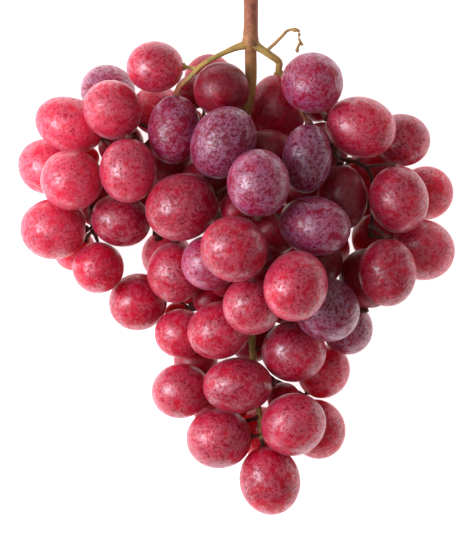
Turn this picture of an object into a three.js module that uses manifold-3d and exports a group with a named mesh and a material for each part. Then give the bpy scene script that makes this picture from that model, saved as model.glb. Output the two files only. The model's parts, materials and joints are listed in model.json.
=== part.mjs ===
// A bunch of red table grapes, picked and laid on its back: one branching stem and fifty-nine
// berries. Millimetres, +Z up, +Y towards the cut end of the stem. The bunch rests on z = 0.

import * as THREE from 'three';
import { mergeVertices } from 'three/addons/utils/BufferGeometryUtils.js';
import Module from 'manifold-3d';

const wasm = await Module();
wasm.setup();

// Driving dimensions.
const clearance = 0.3;         // gap kept between any two pieces
const contactFlat = 0.9;       // depth that a resting berry is pressed flat against the surface
const roundStretch = 1.08;     // length over width of a berry that looks round
const berrySides = 10;         // facets around a berry
const berryRings = 6;          // facets from the stem end to the blossom end
const peduncleRadius = 2.8;
const rachisRadius = 2.1;
const rachisTipRadius = 1.4;
const wingBaseRadius = 1.6;     // the thick start of the right wing
const branchRadius = 1.4;
const wingRadius = 1.1;
const pedicelRadius = 0.9;
const collarRadius = 1.8;      // swollen end of a pedicel, where it meets its berry
const collarLength = 2.4;
const shootRadius = 0.8;       // the dried side shoot that lost its berries

const skinColours = { rose: 0xa32b45, lilac: 0x84405f, dark: 0x6e1428, light: 0xc24a4e };
const stemColour = 0x8a6a32;

// Berries by region: skin, x, y and z of the centre and the width, then for a berry that is
// clearly longer than wide its length and the heading of its long axis in the XY plane, in degrees.
// The few that show their blossom end also have its tilt above that plane.
// Each place is where the berry hangs; settle() moves it the last few millimetres.
const regions = {
  left_wing: [
    ['rose', -40, 96, 44, 22.5, 25, 0],
    ['light', -58.5, 77.5, 42, 25],
    ['light', -77, 71.5, 26, 24, 31, -20],
    ['light', -75.5, 47, 42, 26.5],
    ['rose', -51, 52, 50, 25, 28, 90],
    ['light', -83, 26, 28, 26.5, 29, 0],
    ['rose', -55, 30, 32, 23, 26.5, -15],
    ['rose', -65, 10, 27, 22.5, 24.5, 180, 75],
    ['lilac', -59.5, 85.5, 11, 23.5],
    ['light', -87.5, 53.5, 11, 24],
    ['light', -75.5, 17.5, 9, 18],
    ['light', -40.5, 77.5, 19, 22],
    ['dark', -64, 38, 11, 22],
  ],
  crown: [
    ['dark', -11.5, 86.5, 46, 24, 26, 180, 75],
    ['lilac', -32, 69.5, 46, 23, 30, 84],
    ['lilac', -11, 63, 60, 27.5, 33.5, 60, 25],
    ['lilac', 27.5, 89, 50, 26.5],
    ['lilac', 25, 56.5, 56, 21.5, 30, 86],
    ['dark', 13, 78.5, 27, 25, 30, 90],
    ['dark', 8.5, 58, 42, 22.5],
    ['dark', -35.5, 56, 22, 22.5],
    ['dark', -17, 91, 10, 22],
  ],
  right_wing: [
    ['rose', 48.5, 70, 45, 26.5, 31, -15],
    ['rose', 64, 39, 44, 26, 29.5, 100],
    ['dark', 41.5, 40, 42, 21.5, 28.5, 95],
    ['rose', 59.5, 7.5, 51, 25, 29.5, 90],
    ['light', 74.5, 17.5, 26, 26.5],
    ['rose', 66, 64.5, 23, 23, 25.5, 0],
    ['light', 77, 42, 11, 23.5],
    ['dark', 50.5, 2.5, 29, 25, 26.5, 90],
    ['dark', 54, 51.5, 11, 21.5, 23, 0],
    ['dark', 57, 22.5, 11, 23],
  ],
  heart: [
    ['rose', -6, 17.5, 77, 28],
    ['lilac', 4, 46, 75, 27, 29.5, 90],
    ['rose', 19.5, 1.5, 77, 27.5, 32, 255, 35],
    ['lilac', 28.5, 27.5, 62, 25.5, 32.5, -12, 25],
    ['rose', -28.5, 35.5, 56, 29, 32, 20],
    ['rose', 1.5, -7, 61, 25, 27, 150, 65],
    ['lilac', -16.5, 12, 53, 24],
    ['lilac', 33.5, -7.5, 50, 27.5],
    ['rose', -31.5, 7.5, 34, 24.5, 26.5, 90],
    ['lilac', 42, -17, 19, 22.5],
    ['dark', 11.5, 26, 38, 22],
    ['dark', 31, 11.5, 38, 21],
    ['rose', -47.5, -4.5, 18, 25, 28, 212, 65],
    ['light', -36, 15, 10, 22],
  ],
  tail: [
    ['rose', -12.5, -17.5, 42, 25, 28, 20],
    ['rose', -4.5, -41, 37, 24.5, 30.5, 3],
    ['rose', 19, -27, 34, 26.5],
    ['rose', 19.5, -58, 38, 27],
    ['rose', -11.5, -63.5, 29, 26.5],
    ['rose', 9, -81.5, 26, 26.5, 30.5, 102],
    ['rose', -28.5, -43, 24, 24],
    ['rose', -28, -19.5, 23, 21.5, 23, 0],
    ['light', 32.5, -35, 10, 22.5],
    ['light', 30, -60, 11, 24.5],
    ['dark', -23.5, -30.5, 9, 19],
    ['dark', -14.5, -50.5, 9, 19.5],
    ['light', 5.5, -62, 13, 22, 23.5, 0],
  ],
};

// The stem's woody lines, from the cut end downwards. Berries hang on every line that bears.
const stemLines = [
  { radius: peduncleRadius, bears: false, points: [[-1, 150, 47], [1, 126, 47], [1, 105, 45]] },
  { radius: rachisRadius, bears: true, points: [
    [1, 108, 46], [0.5, 84, 37], [-6, 62, 33], [-5, 40, 35], [-4, 20, 37], [0, 0, 37], [1.5, -20, 32],
  ] },
  { radius: rachisTipRadius, bears: true, points: [
    [1.5, -18, 32.5], [3, -40, 20], [5, -54, 23], [6, -65, 29],
  ] },
  // Left wing, over the top berries and down inside the shoulder.
  { radius: wingRadius, bears: true, points: [
    [1, 106, 45], [-7, 103.5, 47], [-18.5, 97.5, 49], [-25, 91.5, 48], [-30.5, 86, 43], [-33, 79, 34],
    [-38, 70, 30], [-46, 61, 31], [-57, 54, 28], [-65, 43, 26], [-68, 34, 23], [-67, 26, 21],
  ] },
  // Right wing, down behind the top berries and on inside the shoulder.
  { radius: wingBaseRadius, bears: true, points: [
    [2, 106, 45], [9.5, 101, 46], [13.3, 98, 43], [13.5, 94, 39], [19, 90, 36.5], [26, 84, 32],
  ] },
  { radius: wingRadius, bears: true, points: [
    [25, 85, 32.5], [32, 77, 30], [37, 70, 32], [38.5, 58, 34], [47, 55, 32], [53, 50, 30], [54, 37, 27],
    [53, 24, 27],
  ] },
  // Branches that rise through the crown and the heart to the topmost berries.
  { radius: branchRadius, bears: true, points: [[-5.5, 56, 34], [-4, 51, 43], [-3, 49, 51]] },
  { radius: branchRadius, bears: true, points: [[-4.5, 30, 36], [-2, 36, 44], [2, 41, 51]] },
  { radius: branchRadius, bears: true, points: [[0, -1, 37], [7, 2, 42], [14, 3, 50], [18, 4, 56]] },
  // Short branches of the crown, heart and tail.
  { radius: branchRadius, bears: true, points: [[0, 80, 36], [-10, 72, 31], [-20, 70, 27]] },
  { radius: branchRadius, bears: true, points: [[-5, 36, 34], [-14, 32, 27], [-28, 26, 22], [-40, 24, 19]] },
  { radius: branchRadius, bears: true, points: [[-4, 26, 36], [6, 20, 26], [22, 25, 23], [38, 26, 24]] },
  { radius: branchRadius, bears: true, points: [[0, -3, 36], [-10, -7, 20], [-24, -8, 13]] },
  { radius: branchRadius, bears: true, points: [
    [0, -6, 36], [10, -8, 35], [21, -7, 32], [30, -5, 24], [36, -2, 16],
  ] },
  { radius: branchRadius, bears: true, points: [[3, -38, 21], [12, -40, 11], [24, -46, 9]] },
  { radius: branchRadius, bears: true, points: [[3, -42, 20], [-6, -40, 17], [-15, -40, 20]] },
  // The dried side shoot beside the peduncle, forked at its end.
  { radius: shootRadius, bears: false, points: [
    [8, 103, 46], [11, 105.5, 47], [14.5, 109, 48], [17, 111.5, 49], [20, 111.7, 50], [22, 111, 50],
    [21.8, 108, 50], [23.4, 105, 50],
  ] },
  { radius: shootRadius, bears: false, points: [[22.5, 106.5, 50], [21.2, 104, 50.5], [21, 102, 51]] },
];

const up = new THREE.Vector3(0, 0, 1);
const toVector = (point) => new THREE.Vector3(...point);
for (const line of stemLines) {
  line.curve = new THREE.CatmullRomCurve3(line.points.map(toVector));
  line.beads = line.curve.getSpacedPoints(Math.ceil(line.curve.getLength() / 3));
}
const bearingBeads = stemLines.filter((line) => line.bears).flatMap((line) => line.beads);

function nearestBead(place) {
  return bearingBeads.reduce((best, bead) => (
    bead.distanceToSquared(place) < best.distanceToSquared(place) ? bead : best
  ));
}

// A berry's axis runs from its stem end to its blossom end. A long berry has its stated heading,
// turned so that the stem end is the end nearer to the stem; a round one hangs straight away from it.
function makeBerry([skin, x, y, z, width, length, heading, tilt], name) {
  const centre = new THREE.Vector3(x, y, z);
  const axis = centre.clone().sub(nearestBead(centre));
  if (heading !== undefined) {
    const polar = THREE.MathUtils.degToRad(90 - (tilt ?? 0));
    const along = new THREE.Vector3(0, 0, 1).applyAxisAngle(new THREE.Vector3(0, 1, 0), polar);
    along.applyAxisAngle(up, THREE.MathUtils.degToRad(heading));
    const backwards = tilt === undefined && axis.dot(along) < 0;
    axis.copy(along.multiplyScalar(backwards ? -1 : 1));
  }
  axis.normalize();
  return {
    name, skin, centre, home: centre.clone(), axis, width, length: length ?? width * roundStretch,
  };
}

const berries = Object.entries(regions).flatMap(([region, rows]) => rows.map((row, index) => (
  makeBerry(row, `${region}_berry_${String(index + 1).padStart(2, '0')}`)
)));

// Distance from a berry's centre to its surface plane facing a direction.
function reach(berry, direction) {
  const along = berry.axis.dot(direction) ** 2;
  return Math.sqrt((berry.width / 2) ** 2 * (1 - along) + (berry.length / 2) ** 2 * along);
}

// Pushes overlapping berries apart, mostly up and down, and off the stem, while a weak pull keeps
// each near its own place. No berry sinks below the surface by more than its pressed flat.
function settle() {
  const pulledPasses = 1400;
  const passes = 2600;
  const step = 0.6;
  const sideways = 0.45;
  const pull = { flat: 0.05, upright: 0.03 };
  const between = new THREE.Vector3();
  for (let pass = 0; pass < passes; pass += 1) {
    const pushes = berries.map(() => new THREE.Vector3());
    berries.forEach((berry, i) => {
      for (let j = i + 1; j < berries.length; j += 1) {
        const other = berries[j];
        between.subVectors(berry.centre, other.centre);
        const distance = between.length();
        between.divideScalar(distance);
        const overlap = reach(berry, between) + reach(other, between) + clearance - distance;
        if (overlap > 0) {
          pushes[i].addScaledVector(between, overlap * step / 2);
          pushes[j].addScaledVector(between, -overlap * step / 2);
        }
      }
      for (const line of stemLines) {
        for (const bead of line.beads) {
          between.subVectors(berry.centre, bead);
          const distance = between.length();
          between.divideScalar(distance);
          const overlap = reach(berry, between) + line.radius + clearance - distance;
          if (overlap > 0) pushes[i].addScaledVector(between, overlap * step);
        }
      }
    });
    berries.forEach((berry, i) => {
      const { centre, home } = berry;
      const hold = pass < pulledPasses ? pull : { flat: 0, upright: 0 };
      centre.x += pushes[i].x * sideways + (home.x - centre.x) * hold.flat;
      centre.y += pushes[i].y * sideways + (home.y - centre.y) * hold.flat;
      centre.z += pushes[i].z + (home.z - centre.z) * hold.upright;
      centre.z = Math.max(centre.z, reach(berry, up) - contactFlat);
    });
  }
}
settle();

function toSolid(geometry) {
  const bare = geometry.clone();
  bare.deleteAttribute('normal');
  bare.deleteAttribute('uv');
  const merged = mergeVertices(bare, 1e-4);
  return new wasm.Manifold(new wasm.Mesh({
    numProp: 3,
    vertProperties: Float32Array.from(merged.attributes.position.array),
    triVerts: Uint32Array.from(merged.index.array),
  }));
}

function toGeometry(solid) {
  const { vertProperties, triVerts } = solid.getMesh();
  const geometry = new THREE.BufferGeometry();
  geometry.setAttribute('position', new THREE.BufferAttribute(vertProperties, 3));
  geometry.setIndex(new THREE.BufferAttribute(triVerts, 1));
  return geometry;
}

// The surface that the bunch lies on, as a block that presses the resting berries flat.
const surface = toSolid(new THREE.BoxGeometry(400, 400, 40).translate(0, 0, -20));

// A berry turned about its own axis: stem end at -length/2 and blossom end at +length/2 on Y.
function berryGeometry({ width, length }) {
  const profile = [];
  for (let ring = 0; ring <= berryRings; ring += 1) {
    const angle = Math.PI * ring / berryRings;
    const onAxis = ring === 0 || ring === berryRings;
    const radius = onAxis ? 0 : Math.sin(angle) * width / 2;
    profile.push(new THREE.Vector2(radius, -Math.cos(angle) * length / 2));
  }
  return new THREE.LatheGeometry(profile, berrySides);
}

function berryMesh(berry) {
  const color = skinColours[berry.skin];
  const material = new THREE.MeshStandardMaterial({ color, roughness: 0.35, metalness: 0 });
  const mesh = new THREE.Mesh(berryGeometry(berry), material);
  mesh.name = berry.name;
  mesh.position.copy(berry.centre);
  mesh.quaternion.setFromUnitVectors(new THREE.Vector3(0, 1, 0), berry.axis);
  mesh.updateMatrixWorld();
  const place = mesh.matrixWorld;
  if (berry.centre.z < reach(berry, up)) {
    const pressed = toSolid(mesh.geometry.clone().applyMatrix4(place)).subtract(surface);
    mesh.geometry = toGeometry(pressed).applyMatrix4(place.clone().invert());
  }
  return mesh;
}

function tube(curve, radius, sides, steps) {
  const section = new THREE.Shape(new THREE.EllipseCurve(0, 0, radius, radius).getPoints(sides));
  return new THREE.ExtrudeGeometry(section, { extrudePath: curve, steps });
}

// A pedicel's route from the nearest branch to the berry's stem end, bent around the other berries.
function pedicelCurve(berry) {
  const outward = berry.axis.clone().negate();
  const end = berry.centre.clone().addScaledVector(outward, berry.length / 2 + clearance + collarLength / 2);
  const lead = end.clone().addScaledVector(outward, 3);
  const start = nearestBead(lead);
  const points = new THREE.CubicBezierCurve3(start, start, lead, end).getPoints(7);
  const between = new THREE.Vector3();
  for (let pass = 0; pass < 80; pass += 1) {
    for (let i = 1; i < points.length - 1; i += 1) {
      const middle = points[i - 1].clone().add(points[i + 1]).multiplyScalar(0.5);
      points[i].lerp(middle, 0.2);
      for (const other of berries) {
        between.subVectors(points[i], other.centre);
        const distance = between.length();
        between.divideScalar(distance);
        const overlap = reach(other, between) + pedicelRadius + clearance - distance;
        if (overlap > 0) points[i].addScaledVector(between, overlap);
      }
    }
  }
  return new THREE.CatmullRomCurve3(points);
}

// The swollen collar at the end of a pedicel, its wide face towards the berry.
function collar(berry) {
  const shape = new THREE.CylinderGeometry(collarRadius, pedicelRadius, collarLength, 5);
  const turn = new THREE.Quaternion().setFromUnitVectors(new THREE.Vector3(0, 1, 0), berry.axis);
  const reachOut = berry.length / 2 + clearance + collarLength / 2;
  const place = berry.centre.clone().addScaledVector(berry.axis, -reachOut);
  return shape.applyQuaternion(turn).translate(place.x, place.y, place.z);
}

function stemMesh() {
  let solid = toSolid(new THREE.SphereGeometry(peduncleRadius * 1.25, 8, 6).translate(1, 105, 45));
  for (const { curve, radius } of stemLines) {
    const sides = radius > shootRadius ? 7 : 5;
    const steps = Math.ceil(curve.getLength() / 9);
    solid = solid.add(toSolid(tube(curve, radius, sides, steps)));
  }
  for (const berry of berries) {
    solid = solid.add(toSolid(tube(pedicelCurve(berry), pedicelRadius, 5, 3)));
    solid = solid.add(toSolid(collar(berry)));
  }
  const material = new THREE.MeshStandardMaterial({ color: stemColour, roughness: 0.7, metalness: 0 });
  const mesh = new THREE.Mesh(toGeometry(solid), material);
  mesh.name = 'stem';
  return mesh;
}

// The origin is the middle of the footprint, on the surface.
const bunch = new THREE.Group();
bunch.add(stemMesh(), ...berries.map(berryMesh));
bunch.updateMatrixWorld();
const bounds = new THREE.Box3().setFromObject(bunch, true);
bunch.position.set(-(bounds.min.x + bounds.max.x) / 2, -(bounds.min.y + bounds.max.y) / 2, -bounds.min.z);

export default bunch;
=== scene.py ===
"""A bunch of red table grapes, picked and laid on its back. Metres, +Z up, +Y towards the cut stem."""

import json
import math

import bpy
import numpy as np
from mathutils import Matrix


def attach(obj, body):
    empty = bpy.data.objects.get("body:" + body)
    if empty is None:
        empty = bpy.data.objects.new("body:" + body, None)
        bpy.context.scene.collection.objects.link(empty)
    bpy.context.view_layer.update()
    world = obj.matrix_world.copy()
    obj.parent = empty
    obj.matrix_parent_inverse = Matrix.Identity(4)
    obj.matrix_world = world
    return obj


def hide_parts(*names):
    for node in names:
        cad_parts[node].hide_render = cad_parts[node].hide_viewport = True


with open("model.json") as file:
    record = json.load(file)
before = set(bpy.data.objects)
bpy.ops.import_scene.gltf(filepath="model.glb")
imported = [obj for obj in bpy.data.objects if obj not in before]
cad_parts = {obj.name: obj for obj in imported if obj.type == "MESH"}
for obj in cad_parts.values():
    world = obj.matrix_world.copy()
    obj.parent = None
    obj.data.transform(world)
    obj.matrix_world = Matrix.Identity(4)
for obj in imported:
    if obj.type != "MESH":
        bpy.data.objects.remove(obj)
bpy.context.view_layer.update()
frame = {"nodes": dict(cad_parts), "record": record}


# View
# The bunch lies flat, so the camera looks straight down on it with the stem at the top of the
# picture. A long lens from well above keeps the high berries from looming over the low ones.
camera_height = 3.5
shown_height = 0.2296            # length of the table seen from top to bottom of the picture
aim = (-0.0004, -0.0166, 0.045)   # the middle of the picture, at half the depth of the bunch

camera_data = bpy.data.cameras.new("camera")
camera_data.sensor_width = 36.0
camera_data.lens = camera_data.sensor_width * camera_height / shown_height
camera = bpy.data.objects.new("camera", camera_data)
camera.location = (aim[0], aim[1], aim[2] + camera_height)
bpy.context.scene.collection.objects.link(camera)
bpy.context.scene.camera = camera


# Table and light
# A white table that glows a little under a pale sky, a big soft window of light on the left, and a
# smaller, brighter lamp inside that window. The skins mirror the two as a broad patch with a core.
table_half = 1.5
table_height = -0.0001           # just below the lowest berries, so that no two surfaces share a plane
table_glow = 0.85
sky_colour = (1.0, 0.94, 0.96, 1.0)
sky_strength = 0.36


class Value:
    """A socket that can be used in sums: each operator adds its Math node."""

    def __init__(self, nodes, socket):
        self.nodes = nodes
        self.socket = socket

    def join(self, operation, first, second):
        return self.nodes.make("ShaderNodeMath", {"operation": operation}, [first, second])

    def __add__(self, other):
        return self.join("ADD", self, other)

    def __radd__(self, other):
        return self.join("ADD", other, self)

    def __sub__(self, other):
        return self.join("SUBTRACT", self, other)

    def __rsub__(self, other):
        return self.join("SUBTRACT", other, self)

    def __mul__(self, other):
        return self.join("MULTIPLY", self, other)

    def __rmul__(self, other):
        return self.join("MULTIPLY", other, self)


class Nodes:
    """The node tree of one material, filled from the texture side towards its shader."""

    def __init__(self, name):
        self.material = bpy.data.materials.new(name)
        self.material.use_nodes = True
        self.tree = self.material.node_tree
        self.shader = self.tree.nodes["Principled BSDF"]

    def put(self, node, key, value):
        socket = node.inputs[key]
        if isinstance(value, Value):
            self.tree.links.new(value.socket, socket)
        elif socket.type == "RGBA" and len(value) == 3:
            socket.default_value = (*value, 1.0)
        else:
            socket.default_value = value

    def make(self, kind, settings=None, values=None, output=0):
        """Adds a node of a kind, sets it, feeds its sockets by name or in order, gives an output."""
        node = self.tree.nodes.new(kind)
        for key, value in (settings or {}).items():
            setattr(node, key, value)
        pairs = enumerate(values) if isinstance(values, list) else (values or {}).items()
        for key, value in pairs:
            self.put(node, key, value)
        return Value(self, node.outputs[output])

    def colour(self, factor, low, high):
        """Mixes two colours by a factor from 0 to 1. Sockets 6 and 7 are the node's colours."""
        return self.make("ShaderNodeMix", {"data_type": "RGBA"}, {0: factor, 6: low, 7: high}, output=2)

    def between(self, value, low, high):
        """0 below low, 1 above high, and a smooth step in between."""
        return self.make(
            "ShaderNodeMapRange",
            {"interpolation_type": "SMOOTHSTEP"},
            {"Value": value, "From Min": low, "From Max": high},
        )

    def place(self):
        return self.make("ShaderNodeTexCoord", output="Object")

    def noise(self, place, scale, detail=2.0, roughness=0.5, distortion=0.0):
        return self.make(
            "ShaderNodeTexNoise",
            values={
                "Vector": place, "Scale": scale, "Detail": detail,
                "Roughness": roughness, "Distortion": distortion,
            },
        )

    def attribute(self, name):
        return self.make("ShaderNodeAttribute", {"attribute_name": name}, output="Fac")

    def finish(self, values):
        """Feeds the shader's sockets by name and gives the finished material."""
        for key, value in values.items():
            self.put(self.shader, key, value)
        return self.material


def make_table():
    """A flat square with its four corners at plus and minus half its side."""
    mesh = bpy.data.meshes.new("table")
    turns = [(-1, -1), (1, -1), (1, 1), (-1, 1)]
    corners = [(x * table_half, y * table_half, table_height) for x, y in turns]
    mesh.from_pydata(corners, [], [(0, 1, 2, 3)])
    nodes = Nodes("table_white")
    grain = nodes.noise(nodes.place(), 40.0, 3.0)
    tone = nodes.colour(grain, (0.87, 0.87, 0.87), (0.9, 0.9, 0.9))
    mesh.materials.append(nodes.finish({
        "Base Color": tone,
        "Roughness": 0.6,
        "Emission Color": (1.0, 1.0, 1.0),
        "Emission Strength": table_glow,
    }))
    table = bpy.data.objects.new("table", mesh)
    bpy.context.scene.collection.objects.link(table)


def make_light(name, place, size, power, colour):
    """A square soft light that faces the middle of the bunch."""
    light = bpy.data.lights.new(name, "AREA")
    light.shape = "RECTANGLE"
    light.size, light.size_y = size
    light.energy = power
    light.color = colour
    lamp = bpy.data.objects.new(name, light)
    lamp.location = place
    away = np.array(place) - np.array(aim)
    lamp.rotation_euler = (
        math.atan2(math.hypot(away[0], away[1]), away[2]), 0.0, math.atan2(away[1], away[0]) + math.pi / 2,
    )
    bpy.context.scene.collection.objects.link(lamp)


world = bpy.data.worlds.new("pale_sky")
world.use_nodes = True
world.node_tree.nodes["Background"].inputs["Color"].default_value = sky_colour
world.node_tree.nodes["Background"].inputs["Strength"].default_value = sky_strength
bpy.context.scene.world = world
make_table()
make_light("left_window", (-0.62, 0.0, 0.6), (1.0, 1.2), 7.5, (0.82, 0.86, 1.0))
make_light("left_lamp", (-0.56, 0.0, 0.52), (0.3, 0.34), 3.2, (0.9, 0.9, 1.0))
bpy.context.scene.view_settings.view_transform = "Standard"


# Berries
# Each berry is one thin-skinned, see-through fruit, round or a little long, dimpled where its
# pedicel enters and with a small corky scar at the blossom end. It is grown, so no two match.
around = 72                      # grid steps round a berry
along = 48                       # grid steps from its stem end to its blossom end
dimple_depth = 0.0007
scar_depth = 0.0001
unevenness = 0.00012
ripeness = {                     # percent, berry by berry
    "left_wing": (45, 60, 15, 35, 40, 45, 75, 30, 40, 10, 20, 30, 60),
    "crown": (90, 50, 80, 30, 100, 50, 70, 60, 20),
    "right_wing": (40, 60, 100, 70, 50, 60, 40, 80, 30, 30),
    "heart": (60, 50, 40, 60, 75, 60, 10, 80, 50, 60, 50, 80, 50, 10),
    "tail": (50, 65, 60, 45, 60, 50, 50, 30, 60, 60, 50, 50, 0),
    "inner": (70,) * 27,
}
berry_nodes = [name for name in frame["nodes"] if "_berry_" in name]
slot_of = {part["node"]: part["material_slot"] for part in frame["record"]["subparts"]}


def corners_of(node):
    mesh = frame["nodes"][node].data
    corners = np.empty(len(mesh.vertices) * 3)
    mesh.vertices.foreach_get("co", corners)
    return np.unique(corners.reshape(-1, 3).round(6), axis=0)


stem_corners = corners_of("stem")


def measure_berry(node):
    """Reads a plain berry back from its solid: the quadric x'Ax + 2b'x = 1 through its corners, apart
    from those pressed flat on the table, gives the centre, the width, the length and the axis. The
    axis runs from the stem end, the end nearer to the stem, to the blossom end."""
    corners = corners_of(node)
    middle = corners.mean(0)
    x, y, z = (corners[corners[:, 2] > 0.0002] - middle).T * 1000
    terms = np.stack([x * x, y * y, z * z, 2 * x * y, 2 * x * z, 2 * y * z, 2 * x, 2 * y, 2 * z], 1)
    a, b, c, d, e, f, *linear = np.linalg.lstsq(terms, np.ones(len(x)), rcond=None)[0]
    quadric = np.array([[a, d, e], [d, b, f], [e, f, c]])
    centre = -np.linalg.solve(quadric, linear)
    spread, axes = np.linalg.eigh(quadric / (1 + centre @ quadric @ centre))
    halves = 1 / np.sqrt(spread) / 1000
    centre = middle + centre / 1000
    axis, half_length = axes[:, 0], halves[0]
    tips = [centre + side * axis * half_length for side in (1, -1)]
    from_stem = [np.linalg.norm(stem_corners - tip, axis=1).min() for tip in tips]
    if from_stem[0] < from_stem[1]:
        axis = -axis
    return centre, axis, halves[1:].mean(), half_length


berries = {name: measure_berry(name) for name in berry_nodes}


def seed_of(name):
    return np.random.default_rng(sum(ord(letter) * (place + 3) for place, letter in enumerate(name)))


def across(axis):
    """Two unit directions at right angles to an axis and to each other."""
    other = np.eye(3)[np.argmin(np.abs(axis))]
    first = np.cross(axis, other)
    first /= np.linalg.norm(first)
    return first, np.cross(axis, first)


def mesh_of_grid(name, points, closed_ends):
    """A mesh from points[ring][step], closed round each ring. Each end is a point or a fan."""
    rings, steps = points.shape[:2]
    index = np.arange(rings * steps).reshape(rings, steps)
    turned = np.roll(index, -1, 1)
    quads = np.stack([index[:-1], turned[:-1], turned[1:], index[1:]], -1).reshape(-1, 4)
    vertices = points.reshape(-1, 3)
    faces = quads.tolist()
    for ring, middle in closed_ends:
        tip = len(vertices)
        vertices = np.vstack([vertices, middle])
        pair = (turned[ring], index[ring]) if ring == 0 else (index[ring], turned[ring])
        faces += np.stack([pair[0], pair[1], np.full(steps, tip)], -1).tolist()
    mesh = bpy.data.meshes.new(name)
    mesh.from_pydata(vertices.tolist(), [], faces)
    mesh.polygons.foreach_set("use_smooth", np.ones(len(mesh.polygons), bool))
    return mesh


def add_values(mesh, name, values):
    mesh.attributes.new(name, "FLOAT", "POINT").data.foreach_set("value", values.astype(np.float32))


def grow_berry(name, centre, axis, half_width, half_length):
    """An ellipsoid of revolution, radius w sin v and height -l cos v, pulled in by a dimple
    d exp(-(v/0.16)^2) at the stem end and a shallow ring at the blossom end, with a slow unevenness of
    a few sines. What would sink into the table is pressed flat. The angle from the blossom end and the
    berry's own ripeness and bloom are kept on its points for the skin."""
    rng = seed_of(name)
    v = np.linspace(0.03, math.pi - 0.03, along)[:, None]
    u = np.linspace(0, 2 * math.pi, around, endpoint=False)[None, :]
    turn = rng.uniform(0, 2 * math.pi, 4)
    waves = np.sin(2 * u + turn[0]) * np.sin(v) ** 2 + np.sin(3 * u + 2 * v + turn[1]) * np.sin(v) ** 3
    waves = waves + np.sin(u + turn[2]) * np.sin(2 * v) + np.sin(4 * v + turn[3]) * np.sin(v) ** 2
    inward = unevenness * (waves / 4 - 1) * np.ones_like(u)
    from_blossom = math.pi - v
    radius = (half_width + inward) * np.sin(v)
    dimple = dimple_depth * np.exp(-((v / 0.16) ** 2))
    scar = scar_depth * np.exp(-(((from_blossom - 0.13) / 0.05) ** 2))
    height = -(half_length + inward) * np.cos(v) + dimple - scar
    first, second = across(axis)
    points = centre + height[..., None] * axis
    points = points + (radius * np.cos(u))[..., None] * first + (radius * np.sin(u))[..., None] * second
    ends = [(0, points[0].mean(0)), (-1, points[-1].mean(0))]
    mesh = mesh_of_grid(name + "_skin", points, ends)
    count = len(mesh.vertices)
    heights = np.empty(count * 3)
    mesh.vertices.foreach_get("co", heights)
    heights[2::3] = np.maximum(heights[2::3], 0.00002)
    mesh.vertices.foreach_set("co", heights)
    angle = np.append((from_blossom * np.ones_like(u)).ravel(), [math.pi, 0.0])
    add_values(mesh, "from_blossom", angle)
    region, number = name.split("_berry_")
    add_values(mesh, "ripeness", np.full(count, ripeness[region][int(number) - 1] / 100))
    add_values(mesh, "waxiness", np.full(count, rng.uniform(0.0, 1.0)))
    piece = bpy.data.objects.new(name + "_skin", mesh)
    bpy.context.scene.collection.objects.link(piece)
    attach(piece, "root")
    return piece


def berry_skin(name, flesh, blush, wax, wax_strength, bloom):
    """Skin over see-through flesh: flesh colour drifting to a darker blush, a broken film of pale wax
    that tints it and mirrors the light as a rough coat, dense dark pores in the film, and a corky dot
    at the blossom end. The wax strength is how far the film tints, and the bloom how far it coats."""
    nodes = Nodes(name)
    place = nodes.place()
    ripeness = nodes.attribute("ripeness")
    waxiness = nodes.attribute("waxiness")
    from_blossom = nodes.attribute("from_blossom")

    drift = nodes.noise(place, 85.0, 3.0, 0.55, 0.6)
    veins = nodes.noise(place, 420.0, 4.0, 0.65, 0.8)
    ripe = nodes.between(ripeness + (drift - 0.5) * 1.3 + (veins - 0.5) * 1.3, -0.1, 1.1)
    ground = nodes.colour(ripe, flesh, blush)

    patches = nodes.noise(place, 190.0, 3.0, 0.6, 0.8)
    crumbs = nodes.noise(place, 640.0, 4.0, 0.7, 0.6)
    film = nodes.between(patches * 0.8 + crumbs * 0.8 + waxiness * 0.08, 0.7, 0.94)
    specks = nodes.noise(place, 800.0, 4.0, 0.65, 0.5)
    pores = nodes.between(specks + (patches - 0.5) * 0.5, 0.54, 0.66)
    cover = film * (1 - pores)
    skin = nodes.colour(cover * wax_strength, ground, wax)
    skin = nodes.colour(pores * 0.45, skin, (0.14, 0.001, 0.014))

    dot = 1 - nodes.between(from_blossom, 0.04, 0.07)
    ring = nodes.between(from_blossom, 0.09, 0.13) * (1 - nodes.between(from_blossom, 0.15, 0.22))
    skin = nodes.colour(ring * 0.1, skin, wax)
    skin = nodes.colour(dot * 0.5, skin, (0.16, 0.05, 0.035))

    relief = nodes.noise(place, 300.0, 2.0, 0.5) * 1.2 + crumbs * 0.9 - pores * 0.4
    bump = nodes.make(
        "ShaderNodeBump", values={"Strength": 0.6, "Distance": 0.0003, "Height": relief}, output="Normal",
    )
    nodes.shader.subsurface_method = "RANDOM_WALK"
    return nodes.finish({
        "Base Color": skin,
        "Roughness": 0.3 + cover * 0.25,
        "Normal": bump,
        "Subsurface Weight": 1.0,
        "Subsurface Radius": (0.03, 0.003, 0.004),
        "Subsurface Scale": 1.0,
        "IOR": 1.33,
        "Coat Weight": 0.03 + cover * bloom,
        "Coat Roughness": 0.3,
        "Coat IOR": 1.8,
        "Sheen Weight": 0.04,
        "Sheen Roughness": 0.35,
        "Sheen Tint": (0.95, 0.85, 0.92),
    })


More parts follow.
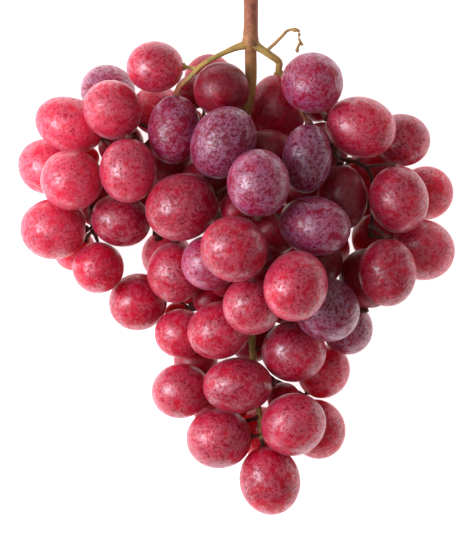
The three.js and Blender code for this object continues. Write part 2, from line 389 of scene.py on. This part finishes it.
wax_pale = (0.62, 0.18, 0.32)
wax_blue = (0.42, 0.2, 0.4)
skins = {
    "berry_rose": berry_skin(
        "rose_skin", flesh=(0.54, 0.002, 0.032), blush=(0.24, 0.001, 0.013),
        wax=wax_pale, wax_strength=0.2, bloom=0.9,
    ),
    "berry_lilac": berry_skin(
        "lilac_skin", flesh=(0.34, 0.003, 0.04), blush=(0.14, 0.001, 0.016),
        wax=wax_blue, wax_strength=0.36, bloom=0.95,
    ),
    "berry_dark": berry_skin(
        "dark_skin", flesh=(0.44, 0.001, 0.02), blush=(0.16, 0.0005, 0.008),
        wax=wax_pale, wax_strength=0.05, bloom=0.3,
    ),
    "berry_light": berry_skin(
        "light_skin", flesh=(0.66, 0.025, 0.065), blush=(0.34, 0.002, 0.02),
        wax=wax_pale, wax_strength=0.22, bloom=0.9,
    ),
}
for name, (centre, axis, half_width, half_length) in berries.items():
    piece = grow_berry(name, centre, axis, half_width, half_length)
    piece.data.materials.append(skins[slot_of[name]])
    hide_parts(name)


# Stem lines
# The woody skeleton: the peduncle that was cut, the rachis that it becomes, and the branches that
# carry the pedicels. Millimetres from the cut end, which is where the solid stem ends.
stem_lines = {
    "peduncle": [(0, 0, 0), (2, -24, 0), (2, -45, -2)],
    "rachis": [
        (2, -42, -1), (1.5, -66, -10), (-5, -88, -14), (-4, -110, -12), (-3, -130, -10), (1, -150, -10),
        (2.5, -170, -15),
    ],
    "rachis_tip": [(2.5, -168, -14.5), (4, -190, -27), (6, -204, -24), (7, -215, -18)],
    "left_wing": [
        (2, -44, -2), (-6, -46.5, 0), (-17.5, -52.5, 2), (-24, -58.5, 1), (-29.5, -64, -4), (-32, -71, -13),
        (-37, -80, -17), (-45, -89, -16), (-56, -96, -19), (-64, -107, -21), (-67, -116, -24),
        (-66, -124, -26),
    ],
    "right_wing": [
        (3, -44, -2), (10.5, -49, -1), (14.3, -52, -4), (14.5, -56, -8), (20, -60, -10.5), (27, -66, -15),
    ],
    "right_wing_tip": [
        (26, -65, -14.5), (33, -73, -17), (38, -80, -15), (39.5, -92, -13), (48, -95, -15), (54, -100, -17),
        (55, -113, -20), (54, -126, -20),
    ],
    "crown_riser": [(-4.5, -94, -13), (-3, -99, -4), (-2, -101, 4)],
    "heart_riser": [(-3.5, -120, -11), (-1, -114, -3), (3, -109, 4)],
    "top_riser": [(1, -151, -10), (8, -148, -5), (15, -147, 3), (19, -146, 9)],
    "crown_left": [(1, -70, -11), (-9, -78, -16), (-19, -80, -20)],
    "heart_left": [(-4, -114, -13), (-13, -118, -20), (-27, -124, -25), (-39, -126, -28)],
    "heart_right": [(-3, -124, -11), (7, -130, -21), (23, -125, -24), (39, -124, -23)],
    "low_left": [(1, -153, -11), (-9, -157, -27), (-23, -158, -34)],
    "low_right": [(1, -156, -11), (11, -158, -12), (22, -157, -15), (31, -155, -23), (37, -152, -31)],
    "tail_right": [(4, -188, -26), (13, -190, -36), (25, -196, -38)],
    "tail_left": [(4, -192, -27), (-5, -190, -30), (-14, -190, -27)],
}
side_shoots = {
    "dried_shoot": [
        (9, -47, -1), (12, -44.5, 0), (15.5, -41, 1), (18, -38.5, 2), (21, -38.3, 3), (23, -39, 3),
        (22.8, -42, 3), (24.4, -45, 3),
    ],
    "dried_fork": [(23.5, -43.5, 3), (22.2, -46, 3.5), (22, -48, 4)],
}
cut_face = stem_corners[stem_corners[:, 1] > stem_corners[:, 1].max() - 0.0015]
cut_end = (cut_face.min(0) + cut_face.max(0)) / 2


def curve_through(points, step):
    """A smooth curve through listed points: on each stretch the cubic whose slope at a point is half
    the chord between its neighbours, sampled about every step."""
    points = cut_end + np.array(points) / 1000
    before = np.vstack([2 * points[0] - points[1], points[:-2]])
    after = np.vstack([points[2:], 2 * points[-1] - points[-2]])
    samples = []
    for start, end, previous, following in zip(points[:-1], points[1:], before, after):
        count = max(2, round(np.linalg.norm(end - start) / step))
        t = (np.arange(count) / count)[:, None]
        slope_in, slope_out = (end - previous) / 2, (following - start) / 2
        samples.append(
            (2 * t**3 - 3 * t**2 + 1) * start + (t**3 - 2 * t**2 + t) * slope_in
            + (3 * t**2 - 2 * t**3) * end + (t**3 - t**2) * slope_out
        )
    return np.vstack([*samples, points[-1:]])


routes = {name: curve_through(points, 0.0012) for name, points in (stem_lines | side_shoots).items()}
bearing = np.vstack([routes[name] for name in stem_lines if name != "peduncle"])


# Inner berries
# More berries hang behind the outer ones and fill the bunch from inside. Each fills its pocket: its
# size is what its neighbours and the stem leave. None of them reaches the table.
pockets = [
    (-3, -114, 5), (-26, -66, -21), (-18, -103, -13), (-16, -155, -19), (3, -172, -31), (26, -107, -12),
    (37, -90, -30), (10, -139, 3), (-53, -85, -31), (-67, -92, -35), (31, -72, -33),
    (-11, -148, -11), (16, -200, -26), (-33, -160, -34), (23, -105, -30), (1, -143, -30), (-7, -117, -28),
    (-7, -81, -32), (35, -131, -34), (17, -157, -26), (-30, -115, -28), (-44, -110, -32), (-22, -77, -32),
    (17, -135, -33), (52, -114, -28), (-25, -155, -36), (-4, -203, -30),
]
inner_size = (0.0035, 0.0112)    # smallest and largest half width
inner_stretch = 1.06             # length over width
skin_gap = 0.0003
table_gap = 0.0012
stem_room = 0.002
pushes = 60                      # small moves away from whatever is nearest
push_length = 0.00008


def reach(directions, axes, half_widths, half_lengths):
    """Distance from a berry's centre to its surface plane that faces a direction."""
    along_axis = (directions * axes).sum(-1) ** 2
    return np.sqrt(half_widths**2 * (1 - along_axis) + half_lengths**2 * along_axis)


def room_at(place, others):
    """How far a point is from the nearest of the other berries, the stem lines and the table, and the
    direction away from it."""
    centres, axes, widths, lengths = (np.array(column) for column in zip(*others))
    apart = np.vstack([place - centres, place - bearing, [[0.0, 0.0, place[2]]]])
    distance = np.linalg.norm(apart, axis=1)
    outward = apart / distance[:, None]
    taken = reach(outward[: len(centres)], axes, widths, lengths) + skin_gap
    taken = np.concatenate([taken, np.full(len(bearing), stem_room), [table_gap]])
    nearest = np.argmin(distance - taken)
    return (distance - taken)[nearest], outward[nearest]


inner_berries = {}
for number, pocket in enumerate(pockets, 1):
    place = cut_end + np.array(pocket) / 1000
    neighbours = [*berries.values(), *inner_berries.values()]
    for _ in range(pushes):
        room, outward = room_at(place, neighbours)
        place = place + outward * push_length
    half_width = min(max(room / inner_stretch, inner_size[0]), inner_size[1])
    hung_from = bearing[np.argmin(np.linalg.norm(bearing - place, axis=1))]
    axis = (place - hung_from) / np.linalg.norm(place - hung_from)
    name = f"inner_berry_{number:02d}"
    inner_berries[name] = (place, axis, half_width, half_width * inner_stretch)
    piece = grow_berry(name, *inner_berries[name])
    # Every inner berry wears the dark skin, which paints the gaps between the outer berries darker as
    # shade.
    piece.data.materials.append(skins["berry_dark"])


# Stem
# One woody piece: red-brown and ridged on the peduncle, golden where the wings begin, painted dark
# inside the bunch as shade, with swollen knots where branches leave and a collar where each pedicel
# grips its berry.
stem_sides = 14
collar_sink = 0.0004             # how far a pedicel's end goes into the dimple
pedicel_lead = 0.005             # how far it leaves the dimple before it bends
pedicel_room = 0.0012
easings = 80
shade_from = 0.06                 # distance from the cut end where the painted shade inside the bunch starts
# over this distance the painted shade deepens to its full darkness
shade_over = 0.03


def tube_points(route, radii, ridges, twist):
    """Rings of points round a route, square to its direction. The radius at the angle a of ring s is
    r (1 + q sin(3 a + twist s) + 0.6 q sin(5 a - 0.11 s)) for ridges of the height q."""
    direction = np.gradient(route, axis=0)
    direction /= np.linalg.norm(direction, axis=1)[:, None]
    other = np.eye(3)[np.argmin(np.abs(route[-1] - route[0]))]
    first = np.cross(direction, other)
    first /= np.linalg.norm(first, axis=1)[:, None]
    second = np.cross(direction, first)
    angle = np.linspace(0, 2 * math.pi, stem_sides, endpoint=False)[None, :, None]
    along_route = np.arange(len(route))[:, None, None]
    bulge = 1 + ridges * np.sin(3 * angle + twist * along_route)
    bulge = bulge + ridges * 0.6 * np.sin(5 * angle - along_route * 0.11)
    out = np.cos(angle) * first[:, None, :] + np.sin(angle) * second[:, None, :]
    return route[:, None, :] + out * radii[:, None, None] * bulge


def pedicel_routes(hung):
    """One route per berry, from the nearest stem line to the berry's dimple: a cubic that leaves the
    dimple straight, then eased by turns and pushed out of every berry that it would cross."""
    centres, axes, widths, lengths = (np.array(column) for column in zip(*hung))
    ends = centres - axes * (lengths - collar_sink)[:, None]
    leads = centres - axes * (lengths + pedicel_lead)[:, None]
    starts = np.array([bearing[np.argmin(np.linalg.norm(bearing - lead, axis=1))] for lead in leads])
    t = np.linspace(0, 1, 9)[None, :, None]
    starts, leads, ends = starts[:, None], leads[:, None], ends[:, None]
    points = (1 - t) ** 3 * starts + 3 * (1 - t) ** 2 * t * starts
    points = points + 3 * (1 - t) * t**2 * leads + t**3 * ends
    for _ in range(easings):
        middles = (points[:, :-2] + points[:, 2:]) / 2
        points[:, 1:-1] += (middles - points[:, 1:-1]) * 0.2
        inside = points[:, 1:-1, None, :] - centres
        distance = np.linalg.norm(inside, axis=-1)
        outward = inside / distance[..., None]
        deep = reach(outward, axes, widths, lengths) + pedicel_room - distance
        deepest = np.argmax(deep, axis=-1)[..., None]
        push = np.take_along_axis(np.maximum(deep, 0), deepest, -1)
        points[:, 1:-1] += np.take_along_axis(outward, deepest[..., None], 2)[:, :, 0] * push
    return points


def smooth_route(points, count):
    """The same route, resampled at equal steps of its length by straight stretches, then eased."""
    steps = np.linalg.norm(np.diff(points, axis=0), axis=1)
    distance = np.append(0, np.cumsum(steps))
    even = np.linspace(0, distance[-1], count)
    route = np.stack([np.interp(even, distance, points[:, k]) for k in range(3)], 1)
    for _ in range(3):
        route[1:-1] = (route[:-2] + route[1:-1] * 2 + route[2:]) / 4
    return route


def knot(count, place, size, width):
    """A swelling at a place along a route, as a bell curve over its points."""
    return size * np.exp(-(((np.arange(count) / count - place) / width) ** 2))


def joined_mesh(name, tubes):
    """One mesh of many closed tubes, each (points, tone): the tone is kept on the points."""
    vertices, faces, tones = [], [], []
    start = 0
    for points, tone in tubes:
        rings, steps = points.shape[:2]
        index = start + np.arange(rings * steps).reshape(rings, steps)
        turned = np.roll(index, -1, 1)
        faces += np.stack([index[:-1], turned[:-1], turned[1:], index[1:]], -1).reshape(-1, 4).tolist()
        ends = start + rings * steps
        faces += np.stack([turned[0], index[0], np.full(steps, ends)], -1).tolist()
        faces += np.stack([index[-1], turned[-1], np.full(steps, ends + 1)], -1).tolist()
        vertices += [points.reshape(-1, 3), points[0].mean(0)[None], points[-1].mean(0)[None]]
        tones += [np.repeat(tone, steps), tone[:1], tone[-1:]]
        start = ends + 2
    mesh = bpy.data.meshes.new(name)
    mesh.from_pydata(np.vstack(vertices).tolist(), [], faces)
    mesh.polygons.foreach_set("use_smooth", np.ones(len(mesh.polygons), bool))
    add_values(mesh, "redness_and_shade", np.concatenate(tones))
    return mesh


def painted_shade(route):
    """0 near the cut end and 1 inside the bunch, where shade is painted onto the wood, point by point."""
    return np.clip((np.linalg.norm(route - cut_end, axis=1) - shade_from) / shade_over, 0, 1)


def stem_tubes():
    """Every line of the stem with its own thickness, its redness and its painted shade: 0 on young golden
    wood, 1 on old red-brown bark and 2 where shade is painted dark onto the wood inside the bunch."""
    tubes = []
    thickness = {
        "peduncle": 3.2, "rachis": 2.1, "left_wing": 1.0, "right_wing": 1.5, "right_wing_tip": 1.0,
        "dried_shoot": 0.7, "dried_fork": 0.6,
    }
    for name, route in routes.items():
        count = len(route)
        share = np.linspace(0, 1, count)
        radii = np.full(count, thickness.get(name, 1.4)) * 1e-3
        if name == "peduncle":
            radii = radii * (1.02 - 0.08 * share) + knot(count, 1.0, 0.0009, 0.13)
            radii = radii + knot(count, 0.0, 0.0002, 0.03)
            redness_and_shade = 1 - 0.5 * share**2
        elif name == "rachis_tip":
            radii = radii * (1.15 - 0.35 * share)
            redness_and_shade = np.full(count, 0.3)
        elif name == "rachis":
            radii = radii * (1.25 - 0.45 * share)
            redness_and_shade = 0.15 + 0.45 * (1 - share) ** 3
        elif name in side_shoots:
            radii = radii * (1.1 - 0.3 * share) + knot(count, 0.6, 0.0004, 0.03)
            radii = radii + knot(count, 1.0, 0.0008, 0.03)
            redness_and_shade = np.full(count, 0.4)
        else:
            radii = radii * (1.15 - 0.35 * share) + knot(count, 0.0, 0.0009, 0.06)
            # Painted shade: branches darken towards near black the deeper they go into the bunch.
            redness_and_shade = 0.12 + 1.9 * painted_shade(route)
        tubes.append((tube_points(route, radii, 0.05, 0.05), redness_and_shade))
    return tubes


def pedicel_tubes():
    """A pedicel flares where it leaves its branch, thins, and swells into a collar round the dimple."""
    tubes = []
    hung = {**berries, **inner_berries}
    for name, points in zip(hung, pedicel_routes(list(hung.values()))):
        rng = seed_of(name)
        route = smooth_route(points, 30)
        share = np.linspace(0, 1, 30)
        radii = 0.00078 + 0.0007 * np.exp(-((share / 0.12) ** 2))
        radii = radii + 0.00105 * np.exp(-(((share - 0.97) / 0.1) ** 2))
        radii = radii * (1 + 0.05 * np.sin(share * 40 + rng.uniform(0, 6)))
        # Painted shade: pedicels darken towards near black the deeper they go into the bunch.
        redness_and_shade = 0.15 + 1.9 * painted_shade(route)
        tubes.append((tube_points(route, radii, 0.06, 0.2), redness_and_shade))
    return tubes


def bark():
    """Woody skin: golden where young, red-brown where old, painted dark as shade inside the bunch,
    streaked, pitted and matt.
    """
    nodes = Nodes("stem_bark")
    place = nodes.place()
    redness_and_shade = nodes.attribute("redness_and_shade")
    blotches = nodes.noise(place, 190.0, 3.0, 0.6, 0.4)
    fine = nodes.noise(place, 900.0, 3.0, 0.65)
    young = nodes.colour(nodes.between(blotches, 0.35, 0.7), (0.5, 0.31, 0.08), (0.3, 0.21, 0.06))
    old = nodes.colour(nodes.between(blotches, 0.35, 0.7), (0.4, 0.13, 0.06), (0.22, 0.065, 0.035))
    # The wood turns from golden to red-brown with age and with the painted shade inside the bunch.
    wood = nodes.colour(nodes.between(redness_and_shade + blotches * 0.3 - 0.15, 0.2, 0.75), young, old)
    # Painted shade: where the shade value passes 1 the wood goes to a near-black brown.
    wood = nodes.colour(nodes.between(redness_and_shade, 1.0, 2.0), wood, (0.1, 0.022, 0.014))
    pits = nodes.between(fine, 0.58, 0.7)
    wood = nodes.colour(pits * 0.55, wood, (0.09, 0.045, 0.02))
    lift = nodes.make(
        "ShaderNodeBump",
        values={"Strength": 0.6, "Distance": 0.0005, "Height": blotches * 0.6 + fine * 0.4},
        output="Normal",
    )
    return nodes.finish({
        "Base Color": wood,
        "Roughness": 0.5 + fine * 0.3,
        "Normal": lift,
        "Subsurface Weight": 0.1,
        "Subsurface Radius": (0.002, 0.001, 0.0004),
        "Specular IOR Level": 0.35,
    })


stem = bpy.data.objects.new("stem_wood", joined_mesh("stem_wood", stem_tubes() + pedicel_tubes()))
bpy.context.scene.collection.objects.link(stem)
stem.data.materials.append(bark())
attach(stem, "root")
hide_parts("stem")
